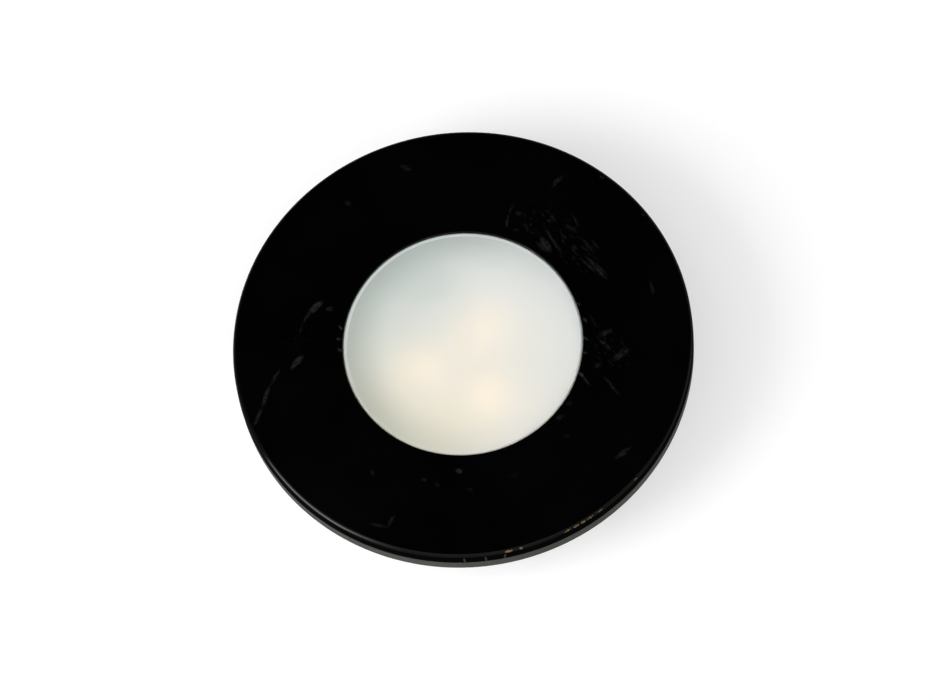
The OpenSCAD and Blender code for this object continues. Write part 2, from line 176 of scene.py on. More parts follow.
# Chips in the front edge that show the metal: both ends, width in pixels, strength
EDGE_CHIPS = (
    (503.5, 549.6, 513.5, 548.4, 2.6, 1.0), (519.5, 547.6, 522.5, 547.0, 2.4, 1.0),
    (562.0, 532.0, 573.0, 527.2, 1.6, 0.7), (573.0, 527.2, 579.0, 524.3, 2.4, 1.0),
    (581.0, 522.8, 585.5, 520.2, 2.4, 1.0), (585.5, 520.2, 596.0, 513.4, 1.8, 0.85),
    (596.0, 513.4, 604.0, 507.6, 1.4, 0.7), (636.0, 481.0, 638.5, 478.6, 2.0, 0.8),
)
# How far the chips lie inside the ring's outline and below its face
CHIP_INSET = 0.22 * MM
CHIP_DROP = 0.16 * MM
# Marks down the ring's wall, by their angle round the axis in degrees
WALL_TICK_ANGLES = (-93.2, -88.0, -83.2)
# Middle of the stretch of the front edge that keeps its gloss, by its angle; painted shade dulls the
# rest of the edge
SHINING_EDGE = math.radians(-131)


# Shader maths and materials

class Wire:
    """A node's socket that takes part in Python expressions."""

    def __init__(self, graph, socket):
        self.graph = graph
        self.socket = socket

    def _math(self, operation, *values):
        return self.graph.node("ShaderNodeMath", {"operation": operation}, *values)

    def __add__(self, other):
        return self._math("ADD", self, other)

    def __sub__(self, other):
        return self._math("SUBTRACT", self, other)

    def __rsub__(self, other):
        return self._math("SUBTRACT", other, self)

    def __mul__(self, other):
        return self._math("MULTIPLY", self, other)

    def __truediv__(self, other):
        return self._math("DIVIDE", self, other)

    def larger(self, other):
        return self._math("MAXIMUM", self, other)


class Graph:
    """A node tree, with one method that adds a node of any kind."""

    def __init__(self, tree):
        self.tree = tree
        tree.nodes.clear()

    def node(self, kind, settings=None, *values, output=0, **sockets):
        """Adds a node, fills its sockets in order or by name, and gives one of its outputs."""
        made = self.tree.nodes.new(kind)
        for key, value in (settings or {}).items():
            setattr(made, key, value)
        named = {key.replace("_", " "): value for key, value in sockets.items()}
        for key, value in [*enumerate(values), *named.items()]:
            self.plug(value, made.inputs[key])
        return Wire(self, made.outputs[output])

    def plug(self, value, socket):
        if isinstance(value, Wire):
            self.tree.links.new(value.socket, socket)
        else:
            socket.default_value = value


class Finish(Graph):
    """A material, built node by node round one Principled shader."""

    def __init__(self, name, **constants):
        self.material = bpy.data.materials.new(name)
        self.material.use_nodes = True
        super().__init__(self.material.node_tree)
        self.shader = self.tree.nodes.new("ShaderNodeBsdfPrincipled")
        self.output = self.tree.nodes.new("ShaderNodeOutputMaterial")
        self.tree.links.new(self.shader.outputs[0], self.output.inputs["Surface"])
        self.set(**constants)
        self.place = self.node("ShaderNodeTexCoord", output="Object")

    def under(self, mask, **constants):
        """Shows a second, plain shader where the mask is 1."""
        plain = self.tree.nodes.new("ShaderNodeBsdfPrincipled")
        self.set(plain, **constants)
        upper, lower = Wire(self, self.shader.outputs[0]), Wire(self, plain.outputs[0])
        mixed = self.node("ShaderNodeMixShader", None, mask, upper, lower)
        self.plug(mixed, self.output.inputs["Surface"])

    def set(self, shader=None, **sockets):
        """Fills sockets of the Principled shader, or of another one."""
        for key, value in sockets.items():
            self.plug(value, (shader or self.shader).inputs[key.replace("_", " ")])

    def noise(self, scale, detail=3.0, roughness=0.5, at=None, output=0):
        """Cloudy pattern from 0 to 1; scale counts its patches in a metre."""
        sockets = {"Scale": scale, "Detail": detail, "Roughness": roughness}
        return self.node("ShaderNodeTexNoise", Vector=at or self.place, output=output, **sockets)

    def ramp(self, value, low, high, to_low=0.0, to_high=1.0):
        """value taken smoothly from low..high to to_low..to_high."""
        smooth = {"interpolation_type": "SMOOTHSTEP"}
        return self.node("ShaderNodeMapRange", smooth, value, low, high, to_low, to_high)

    def blend(self, factor, a, b):
        """Colour a where factor is 0 and b where it is 1; a Mix node's colours are at 6, 7 and 2."""
        made = self.tree.nodes.new("ShaderNodeMix")
        made.data_type = "RGBA"
        self.plug(factor, made.inputs[0])
        self.plug(a, made.inputs[6])
        self.plug(b, made.inputs[7])
        return Wire(self, made.outputs[2])

    def moved(self, location=(0, 0, 0), rotation=(0, 0, 0), scale=(1, 1, 1), at=None):
        """Coordinates counted from a location, along turned axes, in units of scale."""
        kind = {"vector_type": "TEXTURE"}
        return self.node("ShaderNodeMapping", kind, at or self.place, location, rotation, scale)

    def vector(self, operation, *values, output="Vector", **sockets):
        kind = {"operation": operation}
        return self.node("ShaderNodeVectorMath", kind, *values, output=output, **sockets)

    def length(self, vector):
        return self.vector("LENGTH", vector, output="Value")

    def radius(self):
        """Distance from the light's axis."""
        return self.length(self.vector("MULTIPLY", self.place, (1, 1, 0)))

    def along(self, direction):
        """Distance from the middle in a direction."""
        return self.vector("DOT_PRODUCT", self.place, direction, output="Value")

    def height(self):
        return self.node("ShaderNodeSeparateXYZ", None, self.place, output="Z")

    def shaken(self, scale, amount):
        """The object's coordinates, pushed about by noise, so that straight marks waver."""
        push = self.noise(scale, detail=2.0, output="Color")
        centred = self.vector("SUBTRACT", push, (0.5, 0.5, 0.5))
        return self.vector("ADD", self.place, self.vector("SCALE", centred, Scale=amount))

    def spot(self, at, centre, heading, length, width, depth, strength):
        """Mask of a mark with soft ends, turned by heading round Z."""
        sizes = (length / 2, width / 2, depth)
        away = self.length(self.moved(centre, (0, 0, heading), sizes, at=at))
        return self.ramp(away, 0.35, 1.0, strength, 0.0)

    def bump(self, height, distance, normal=None):
        """Surface relief, on top of another relief where one is given."""
        below = {} if normal is None else {"Normal": normal}
        return self.node("ShaderNodeBump", Height=height, Distance=distance, Strength=1.0, **below)


def grey(value):
    return (value, value, value, 1.0)


def largest(masks):
    found = masks[0]
    for mask in masks[1:]:
        found = found.larger(mask)
    return found


# Mesh building

def added(name, data):
    """A new object in the scene."""
    made = bpy.data.objects.new(name, data)
    bpy.context.scene.collection.objects.link(made)
    return made


def soft_outline(*corners, steps=5):
    """Closed outline through corners of (radius from the axis, height, rounding)."""
    points = []
    for i, (r, z, rounding) in enumerate(corners):
        here = Vector((r, z))
        if rounding <= 0:
            points.append(here)
            continue
        before = (Vector(corners[i - 1][:2]) - here).normalized()
        after = (Vector(corners[(i + 1) % len(corners)][:2]) - here).normalized()
        half = before.angle(after) / 2
        centre = here + (before + after).normalized() * (rounding / math.sin(half))
        start = here + before * (rounding / math.tan(half)) - centre
        end = here + after * (rounding / math.tan(half)) - centre
        sweep = start.angle_signed(end)
        turns = (Matrix.Rotation(-sweep * k / steps, 2) for k in range(steps + 1))
        points += [centre + turn @ start for turn in turns]
    return points


def turned(outline, segments, centre=(0, 0)):
    """Vertices and faces of a closed outline of (radius, height) turned round an upright axis."""
    vertices = []
    rings = []
    for p in outline:
        rings.append(range(len(vertices), len(vertices) + segments))
        for k in range(segments):
            a = 2 * math.pi * k / segments
            vertices.append((centre[0] + p.x * math.cos(a), centre[1] + p.x * math.sin(a), p.y))
    faces = []
    for i, low in enumerate(rings):
        high = rings[(i + 1) % len(rings)]
        if outline[i].x < 1e-7 and outline[(i + 1) % len(rings)].x < 1e-7:
            continue
        for k in range(segments):
            n = (k + 1) % segments
            faces.append((low[k], low[n], high[n], high[k]))
    return vertices, faces


def joined(*shells):
    """One list of vertices and faces from several shells."""
    vertices = []
    faces = []
    for more_vertices, more_faces in shells:
        base = len(vertices)
        vertices += more_vertices
        faces += [tuple(base + v for v in face) for face in more_faces]
    return vertices, faces


def tidy_mesh(mesh, crease=35):
    """Merges doubles, turns faces outwards and smooths them up to the crease angle."""
    work = bmesh.new()
    work.from_mesh(mesh)
    bmesh.ops.remove_doubles(work, verts=work.verts, dist=1e-7)
    bmesh.ops.dissolve_degenerate(work, edges=work.edges, dist=1e-8)
    bmesh.ops.recalc_face_normals(work, faces=work.faces)
    work.to_mesh(mesh)
    work.free()
    for face in mesh.polygons:
        face.use_smooth = True
    mesh.set_sharp_from_angle(angle=math.radians(crease))


def shell_mesh(name, shell):
    """A mesh of a shell's vertices and faces."""
    mesh = bpy.data.meshes.new(name)
    mesh.from_pydata(shell[0], [], shell[1])
    tidy_mesh(mesh)
    return mesh


def evaluated_mesh(mesh, kind, **settings):
    """A mesh with one modifier applied; a setting's key may be a socket's identifier."""
    maker = added(mesh.name, mesh)
    modifier = maker.modifiers.new(kind.lower(), kind)
    for key, value in settings.items():
        if hasattr(modifier, key):
            setattr(modifier, key, value)
        else:
            modifier[key] = value
    graph = bpy.context.evaluated_depsgraph_get()
    made = bpy.data.meshes.new_from_object(maker.evaluated_get(graph))
    bpy.data.objects.remove(maker)
    return made


def combined(mesh, other, operation):
    """A closed mesh united with another, or cut by it."""
    tool = added(other.name, other)
    made = evaluated_mesh(mesh, "BOOLEAN", object=tool, operation=operation, solver="EXACT")
    bpy.data.objects.remove(tool)
    tidy_mesh(made)
    return made


def set_round(name, shape, count, circle_r, first_angle, finish, slot, node):
    """Equal shapes round the light's axis, for solids numbered from 1, set out by Geometry Nodes."""
    tree = bpy.data.node_groups.new(f"{name}_layout", "GeometryNodeTree")
    layout = Graph(tree)
    sizes = {"Count": count, "Circle radius": circle_r, "First angle": math.radians(first_angle)}
    tree.interface.new_socket("Shape", in_out="INPUT", socket_type="NodeSocketGeometry")
    identifiers = {}
    for key, value in sizes.items():
        socket_type = "NodeSocketInt" if isinstance(value, int) else "NodeSocketFloat"
        socket = tree.interface.new_socket(key, in_out="INPUT", socket_type=socket_type)
        identifiers[socket.identifier] = value
    tree.interface.new_socket("Piece", in_out="OUTPUT", socket_type="NodeSocketGeometry")
    given = tree.nodes.new("NodeGroupInput")
    one, number, radius, first = (Wire(layout, given.outputs[key]) for key in ("Shape", *sizes))
    angle = layout.node("GeometryNodeInputIndex") / number * math.tau + first
    out = layout.node("ShaderNodeCombineXYZ", None, radius, 0.0, 0.0)
    kind = {"rotation_type": "Z_AXIS"}
    place = layout.node("ShaderNodeVectorRotate", kind, Vector=out, Angle=angle)
    points = layout.node("GeometryNodePoints", None, number, place)
    turn = layout.node("ShaderNodeCombineXYZ", None, 0.0, 0.0, angle)
    spread = {"Points": points, "Instance": one, "Rotation": turn}
    copies = layout.node("GeometryNodeInstanceOnPoints", **spread)
    solid = layout.node("GeometryNodeRealizeInstances", None, copies)
    coated = layout.node("GeometryNodeSetMaterial", None, solid, Material=finish.material)
    layout.plug(coated, tree.nodes.new("NodeGroupOutput").inputs[0])
    mesh = evaluated_mesh(shape, "NODES", node_group=tree, **identifiers)
    place_piece(name, mesh, finish, slot, *(f"{node}_{i + 1}" for i in range(count)))


def softened(node, width, clamp=True, picked=lambda edge: True):
    """A copy of a solid's mesh, with its doubles merged and its sharp edges rounded."""
    mesh = nodes[node].data.copy()
    work = bmesh.new()
    work.from_mesh(mesh)
    bmesh.ops.remove_doubles(work, verts=work.verts, dist=0.002 * MM)
    bmesh.ops.dissolve_degenerate(work, edges=work.edges, dist=1e-7)
    bmesh.ops.dissolve_limit(work, angle_limit=math.radians(1), verts=work.verts, edges=work.edges)
    bmesh.ops.recalc_face_normals(work, faces=work.faces)
    sharp = [
        edge for edge in work.edges
        if edge.is_manifold and edge.calc_face_angle() > math.radians(32) and picked(edge)
    ]
    bmesh.ops.bevel(
        work, geom=sharp, offset=width, offset_type="OFFSET", segments=2, profile=0.5,
        affect="EDGES", clamp_overlap=clamp,
    )
    work.to_mesh(mesh)
    work.free()
    tidy_mesh(mesh, 40)
    return mesh


def place_piece(name, mesh, finish, slot, *stands_for):
    """Puts a finished mesh in the scene; its flat faces keep a flat shading beside rounded edges."""
    mesh = evaluated_mesh(mesh, "WEIGHTED_NORMAL", keep_sharp=True)
    mesh.name = name
    piece = added(name, mesh)
    mesh.materials.clear()
    mesh.materials.append(finish.material)
    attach(piece, "root")
    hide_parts(*stands_for)


# Camera, and the photograph's pixels in the light's frame

def add_camera():
    """Looks at the middle of the ring's face from where the photograph was taken."""
    a, e = CAMERA_AZIMUTH, CAMERA_ELEVATION
    back = Vector((math.sin(a) * math.cos(e), -math.cos(a) * math.cos(e), math.sin(e)))
    right = Vector((math.cos(a), math.sin(a), 0))
    roll = Matrix.Rotation(CAMERA_ROLL, 3, back)
    right, up = roll @ right, roll @ back.cross(right)
    data = bpy.data.cameras.new("camera")
    camera = added("camera", data)
    data.sensor_width = 36
    data.lens = data.sensor_width * CAMERA_DISTANCE / from_px(PHOTO_W)
    data.shift_x = (PHOTO_W / 2 - FACE_CENTRE_PX[0]) / PHOTO_W
    data.shift_y = (FACE_CENTRE_PX[1] - PHOTO_H / 2) / PHOTO_W
    data.clip_start, data.clip_end = 0.1, 20
    basis = Matrix((right, up, back)).transposed().to_4x4()
    eye = Vector((0, 0, FACE_Z)) + back * CAMERA_DISTANCE
    camera.matrix_world = Matrix.Translation(eye) @ basis
    bpy.context.scene.camera = camera


def from_px(pixels):
    """The length that the photograph shows as a number of pixels."""
    return pixels / PX_PER_MM * MM


def on_face(px, py):
    """The point of the ring's face that the photograph shows at a pixel."""
    dx = from_px(px - FACE_CENTRE_PX[0])
    dy = from_px(py - FACE_CENTRE_PX[1])
    c, s = math.cos(-CAMERA_ROLL), math.sin(-CAMERA_ROLL)
    across = dx * c - dy * s
    away = -(dx * s + dy * c) / math.sin(CAMERA_ELEVATION)
    c, s = math.cos(CAMERA_AZIMUTH), math.sin(CAMERA_AZIMUTH)
    return Vector((across * c - away * s, across * s + away * c, FACE_Z))


def on_edge(px, py):
    """The point of the ring's rounded front edge at the angle that a pixel lies at."""
    p = on_face(px, py)
    out = Vector((p.x, p.y, 0)).normalized()
    return out * (TRIM_R - CHIP_INSET) + Vector((0, 0, FACE_Z - CHIP_DROP))


# Finishes

def streak(finish, at, start, end, broad, depth, strength):
    """Mask of a mark drawn from one point to another."""
    along = end - start
    heading = math.atan2(along.y, along.x)
    sizes = (along.length + broad, broad, depth)
    return finish.spot(at, (start + end) / 2, heading, *sizes, strength)


def scuff_mask(finish, wavering):
    """Scuffs, seam lint and fields of flecks on the ring's face."""
    depth = 0.4 * MM
    soft_ends = 1.8
    marks = []
    for x0, y0, x1, y1, width, strength in (
        *SCUFFS_ABOVE_LENS, *SCUFFS_LEFT, *SCUFFS_RIGHT, *SCUFFS_BELOW_LENS, *SEAM_LINT
    ):
        ends = on_face(x0, y0), on_face(x1, y1)
        marks.append(streak(finish, wavering, *ends, soft_ends * from_px(width), depth, strength))
    drawn_out = finish.moved(rotation=(0, 0, FLECK_HEADING), scale=(2.5, 1, 1))
    flecks = finish.ramp(finish.noise(2100, detail=2, at=drawn_out), 0.55, 0.66)
    for x, y, length, width, strength in FLECK_FIELDS:
        sizes = (from_px(length), from_px(width), depth)
        field = finish.spot(finish.place, on_face(x, y), FLECK_HEADING, *sizes, strength)
        marks.append(flecks * field)
    broken = finish.ramp(finish.noise(1500, detail=2), 0.25, 0.6, 0.3, 0.95)
    return largest(marks) * broken


def tick_mask(finish, wavering):
    """Marks down the ring's wall."""
    length, width, depth, strength = 0.6 * MM, 0.4 * MM, 1.6 * MM, 0.3
    marks = []
    for angle in map(math.radians, WALL_TICK_ANGLES):
        foot = (TRIM_R * math.cos(angle), TRIM_R * math.sin(angle), (FACE_Z + SEAT_Z) / 2)
        marks.append(finish.spot(wavering, foot, angle, length, width, depth, strength))
    return largest(marks)


def chip_mask(finish):
    """Bare metal where the front edge is chipped."""
    ragged = finish.shaken(2600, 0.22 * MM)
    marks = []
    for x0, y0, x1, y1, width, strength in EDGE_CHIPS:
        ends, broad = (on_edge(x0, y0), on_edge(x1, y1)), from_px(width)
        marks.append(streak(finish, ragged, *ends, broad, broad, strength))
    rubbed = finish.ramp(finish.noise(3800, detail=4, roughness=0.6), 0.38, 0.6, 0.3, 1.0)
    return finish.ramp(largest(marks) * rubbed, 0.15, 0.6)


def painted_shade_mask(finish):
    """Painted shade: the ring's wall, and the front edge away from the stretch that shines, lose
    their gloss so that they show no reflection.
    """
    wall = finish.ramp(finish.height(), FACE_Z - 0.36 * MM, FACE_Z - 0.12 * MM, 0.99, 0.0)
    wall = wall * finish.ramp(finish.radius(), TRIM_R - 0.5 * MM, TRIM_R - 0.25 * MM)
    towards_shine = finish.along((math.cos(SHINING_EDGE), math.sin(SHINING_EDGE), 0)) / TRIM_R
    edge = finish.ramp(towards_shine, 0.91, 0.97, 0.6, 0.0)
    edge = edge * finish.ramp(finish.radius(), TRIM_R - 0.65 * MM, TRIM_R - 0.5 * MM)
    return wall.larger(edge)


def plated_black():
    """Gloss black over cast metal, with scuffs, seam lint and chips in the front edge, and painted
    shade that takes the gloss off its wall and most of its front edge.
    """
    black, scratched, brassy = grey(0.0004), (0.0066, 0.0071, 0.0071, 1), (0.2, 0.135, 0.055, 1)
    finish = Finish("plated_black", Specular_IOR_Level=0.28)
    bare = chip_mask(finish)
    wavering = finish.shaken(900, 0.5 * MM)
    ticks = tick_mask(finish, wavering)
    scuffed = scuff_mask(finish, wavering).larger(ticks)
    brushed = finish.moved(rotation=(0, 0, 0.6), scale=(6, 0.5, 1))
    hairlines = finish.noise(700, detail=6, roughness=0.75, at=brushed)
    hairlines = finish.ramp(hairlines, 0.66, 0.78, 0.0, 0.1)
    smears = finish.noise(60, detail=4)
    roughness = finish.ramp(smears, 0.3, 0.7, 0.09, 0.15) + scuffed * 0.4
    peel = finish.bump(finish.noise(420, detail=1), 0.006 * MM)
    finish.set(
        Base_Color=finish.blend(bare, finish.blend(scuffed + hairlines, black, scratched), brassy),
        Metallic=bare,
        Roughness=roughness + bare * 0.25,
        Normal=finish.bump(1 - bare, 0.03 * MM, normal=peel),
    )
    # Painted shade: a plain black without gloss on the wall and most of the front edge
    dark = painted_shade_mask(finish) * (1 - bare) * (1 - ticks)
    finish.under(dark, Base_Color=grey(0.001), Roughness=0.7, Specular_IOR_Level=0.0)
    return finish


def frosted():
    """Etched plastic that spreads light, a little green, with a satin skin; its colour carries
    painted light and shade: a cooler side, a whiter lit side, a painted glow, a duller side, painted
    shade towards the rim and a painted highlight just inside it.
    """
    cream, bluish = (0.962, 0.951, 0.855, 1), (0.93, 0.965, 0.965, 1)
    white, glow = (0.95, 0.985, 1, 1), (0.985, 0.98, 0.935, 1)
    dulled, bead_highlight_colour = (0.72, 0.8, 0.78, 1), (0.92, 0.985, 1, 1)
    warm_shade, cool_shade = (0.67, 0.69, 0.6, 1), (0.6, 0.675, 0.65, 1)
    finish = Finish("frosted", Transmission_Weight=0.45, IOR=1.49)
    grain = finish.noise(5200, detail=2)
    r = finish.radius()

    def towards(side):
        return finish.along(side) / LENS_R

    cloud = finish.ramp(finish.noise(120, detail=3), 0.3, 0.7, -0.08, 0.08)
    # Painted light and shade: cooler to one side, whiter on the lit side, a painted glow round one
    # point and duller to the left
    cool = finish.ramp(towards(LENS_COOL_SIDE) + cloud, -0.8, 0.6)
    body = finish.blend(cool, cream, bluish)
    body = finish.blend(finish.ramp(towards(LENS_PAINTED_LIGHT_SIDE), 0.1, 0.75, 0.0, 0.62), body, white)
    bright = finish.ramp(finish.length(finish.moved(LENS_PAINTED_GLOW_POINT)), 2 * MM, 10 * MM, 0.7, 0.0)
    body = finish.blend(bright, body, glow)
    body = finish.blend(finish.ramp(towards(LENS_PAINTED_DULL_SIDE), -0.2, 1.0, 0.0, 0.5), body, dulled)
    x, y, length, width = LENS_DULL_PATCH
    sizes, strength = (from_px(length), from_px(width), 4 * MM), 0.45
    patch = finish.spot(finish.place, on_face(x, y), 0, *sizes, strength)
    body = finish.blend(patch, body, dulled)
    # Painted shade, darker towards the rim on one side
    shade = finish.ramp(towards(LENS_SHADED_SIDE), -0.9, 0.8, 0.0, 0.85)
    shade = shade * finish.ramp(r, LENS_R - 7 * MM, LENS_R - 0.7 * MM)
    body = finish.blend(shade, body, finish.blend(cool, warm_shade, cool_shade))
    # Painted highlight: a bright line just inside the rim
    painted_bead_highlight = finish.ramp(r, LENS_R - 0.68 * MM, LENS_R - 0.56 * MM)
    painted_bead_highlight = painted_bead_highlight * finish.ramp(r, LENS_R - 0.42 * MM, LENS_R - 0.15 * MM, 1, 0)
    painted_bead_highlight = painted_bead_highlight * finish.ramp(cool, 0.0, 0.8, 0.15, 1.0)
    finish.set(
        Base_Color=finish.blend(painted_bead_highlight, body, bead_highlight_colour),
        Roughness=finish.ramp(grain, 0.3, 0.7, 0.84, 0.92),
        Normal=finish.bump(grain, 0.004 * MM),
    )
    return finish


def white_moulding():
    """White plastic with a fine satin skin."""
    finish = Finish("white_moulding")
    skin = finish.noise(3000, detail=2)
    finish.set(
        Base_Color=finish.blend(finish.noise(90), (0.87, 0.87, 0.85, 1), (0.91, 0.91, 0.89, 1)),
        Roughness=finish.ramp(skin, 0.3, 0.7, 0.35, 0.5),
        Normal=finish.bump(skin, 0.006 * MM),
    )
    return finish


def solder_mask():
    """White mask over copper, which shows as raised tracks round the emitters."""
    finish = Finish("solder_mask", Coat_Weight=0.3, Coat_Roughness=0.15)
    r = finish.radius()
    slope = 0.1 * MM
    inner, outer = RING_TRACK_R
    ring = finish.ramp(r, inner - slope, inner) * finish.ramp(r, outer, outer + slope, 1.0, 0.0)
    raised = ring.larger(finish.ramp(r, CORE_TRACK_R, CORE_TRACK_R + slope, 1.0, 0.0))
    speckle = finish.noise(4000, detail=2)
    finish.set(
        Base_Color=finish.blend(raised, (0.8, 0.82, 0.8, 1), (0.85, 0.86, 0.82, 1)),
        Roughness=finish.ramp(speckle, 0.3, 0.7, 0.3, 0.45),
        Normal=finish.bump(raised, 0.035 * MM, normal=finish.bump(speckle, 0.003 * MM)),
    )
    return finish


def ceramic(name="ceramic", colour=(0.84, 0.83, 0.8, 1)):
    """Fine-grained, matt and mottled with a darker tone."""
    finish = Finish(name)
    grain = finish.noise(6000, detail=3)
    darker = (*(0.82 * c for c in colour[:3]), 1)
    finish.set(
        Base_Color=finish.blend(finish.ramp(grain, 0.35, 0.7), colour, darker),
        Roughness=finish.ramp(grain, 0.3, 0.7, 0.4, 0.6),
        Normal=finish.bump(grain, 0.004 * MM),
    )
    return finish


def phosphor():
    """Yellow phosphor under a clear dome, with a painted glow that brightens it and the lens above
    it.
    """
    finish = Finish("phosphor", Coat_Weight=1.0, Coat_Roughness=0.05, Emission_Strength=8.5)
    grain = finish.noise(9000, detail=3)
    clumps = finish.ramp(grain, 0.35, 0.7)
    finish.set(
        Base_Color=finish.blend(clumps, (0.95, 0.62, 0.12, 1), (0.9, 0.5, 0.07, 1)),
        # Painted glow: the colour that the phosphor emits
        Emission_Color=finish.blend(clumps, (1, 0.6, 0.27, 1), (1, 0.54, 0.21, 1)),
        Roughness=finish.ramp(grain, 0.3, 0.7, 0.3, 0.45),
    )
    return finish


def ejector_mask(finish):
    """The round marks of the die's ejector pins."""
    marks = []
    for angle in map(math.radians, EJECTOR_ANGLES):
        centre = (EJECTOR_CIRCLE_R * math.cos(angle), EJECTOR_CIRCLE_R * math.sin(angle), 0)
        away = finish.length(finish.moved(centre))
        marks.append(finish.ramp(away, EJECTOR_R - 0.12 * MM, EJECTOR_R, 1.0, 0.0))
    return largest(marks)


def cast_metal():
    """Die-cast aluminium: a sandy skin with flow marks, ejector marks and a faced gate."""
    dark, pale, worn = (0.46, 0.465, 0.47, 1), (0.52, 0.525, 0.53, 1), (0.66, 0.665, 0.67, 1)
    finish = Finish("cast_metal", Metallic=1.0)
    sand = finish.noise(2400, detail=3, roughness=0.6)
    dragged = finish.noise(2200, detail=3, at=finish.moved(scale=(1, 1, 14)))
    flow = finish.noise(320, detail=6, roughness=0.7, at=finish.moved(scale=(1, 1, 0.5)))
    rear = finish.ramp(finish.height(), 0.01 * MM, 0.03 * MM, 1.0, 0.0)
    r = finish.radius()
    pressed = ejector_mask(finish) * rear
    faced = finish.ramp(r, GATE_R - 0.1 * MM, GATE_R, 1.0, 0.0) * rear
    waves = r * (math.tau / FACING_FEED)
    turned_lines = finish.node("ShaderNodeMath", {"operation": "SINE"}, waves)
    rubbed = finish.ramp(r, BODY_R - 0.5 * MM, BODY_R - 0.1 * MM)
    rubbed = rubbed * finish.ramp(finish.height(), 0.3 * MM, 1.1 * MM, 1.0, 0.0)
    rubbed = rubbed * finish.ramp(flow, 0.4, 0.6)
    bright = (faced * 0.7).larger(pressed * 0.25).larger(rubbed * 0.7)
    skin = finish.bump(sand * (1 - bright), 0.08 * MM, normal=finish.bump(dragged, 0.03 * MM))
    pressed_in = finish.bump(pressed.larger(faced), 0.1 * MM, normal=skin)
    tooled = finish.bump(faced * turned_lines, 0.006 * MM, normal=pressed_in)
    tone = finish.blend(finish.ramp(flow, 0.35, 0.65), dark, pale)
    roughness = finish.ramp(flow, 0.35, 0.65, 0.32, 0.4)
    finish.set(
        Base_Color=finish.blend(bright, tone, worn),
        Roughness=roughness + sand * 0.1 + dragged * 0.1 - bright * 0.14,
        Normal=tooled,
    )
    return finish


def sprung_steel():
    """Rolled stainless strip: a grain round the strip and a few dull patches."""
    clean, tarnished = (0.63, 0.62, 0.6, 1), (0.52, 0.51, 0.48, 1)
    finish = Finish("sprung_steel", Metallic=1.0)
    rolled = finish.noise(240, detail=5, roughness=0.7, at=finish.moved(scale=(1, 1, 0.04)))
    dull = finish.noise(300, detail=3)
    finish.set(
        Base_Color=finish.blend(finish.ramp(dull, 0.4, 0.7), clean, tarnished),
        Roughness=finish.ramp(rolled, 0.3, 0.7, 0.2, 0.38),
        Normal=finish.bump(rolled, 0.004 * MM),
    )
    return finish


def bright_plate(name, colour, tint):
    """Plated steel with a soft shift of tint and fine pits."""
    finish = Finish(name, Metallic=1.0)
    shift = finish.noise(500, detail=3)
    pits = finish.noise(4200, detail=3)
    finish.set(
        Base_Color=finish.blend(finish.ramp(shift, 0.35, 0.65), colour, tint),
        Roughness=finish.ramp(pits, 0.35, 0.7, 0.2, 0.34),
        Normal=finish.bump(pits, 0.005 * MM),
    )
    return finish


def soft_rubber(name, value):
    """Matt grey rubber with a faint bloom."""
    finish = Finish(name)
    skin = finish.noise(3600, detail=3)
    bloom = finish.noise(400, detail=3)
    finish.set(
        Base_Color=finish.blend(finish.ramp(bloom, 0.35, 0.75), grey(value), grey(value * 1.8)),
        Roughness=finish.ramp(skin, 0.3, 0.7, 0.5, 0.68),
        Normal=finish.bump(skin, 0.01 * MM),
    )
    return finish


def cut_sponge():
    """Grey closed-cell rubber cut from sheet, with its pores open and painted shade darkening their
    hollows.
    """
    dark, pale, pore_shade = (0.049, 0.051, 0.043, 1), (0.063, 0.065, 0.055, 1), (0.03, 0.031, 0.028, 1)
    finish = Finish("cut_sponge", Specular_IOR_Level=0.25)
    pores = finish.noise(2800, detail=3, roughness=0.6)
    clouds = finish.noise(260, detail=3)
    body = finish.blend(finish.ramp(clouds, 0.3, 0.7), dark, pale)
    finish.set(
        # Painted shade in the pores' hollows
        Base_Color=finish.blend(finish.ramp(pores, 0.58, 0.74), body, pore_shade),
        Roughness=finish.ramp(pores, 0.3, 0.7, 0.75, 0.92),
        Normal=finish.bump(pores, 0.04 * MM),
    )
    return finish


def moulded_package():
    """Black epoxy over tinned leads, which stay low beside the board."""
    finish = Finish("moulded_package")
    tinned = finish.ramp(finish.height(), LEAD_TOP_Z - 0.01 * MM, LEAD_TOP_Z + 0.01 * MM, 1.0, 0.0)
    grit = finish.noise(5000, detail=3)
    finish.set(
        Base_Color=finish.blend(tinned, grey(0.016), (0.66, 0.66, 0.64, 1)),
        Metallic=tinned,
        Roughness=finish.ramp(grit, 0.3, 0.7, 0.38, 0.55),
        Normal=finish.bump(grit, 0.008 * MM),
    )
    return finish


# Pieces

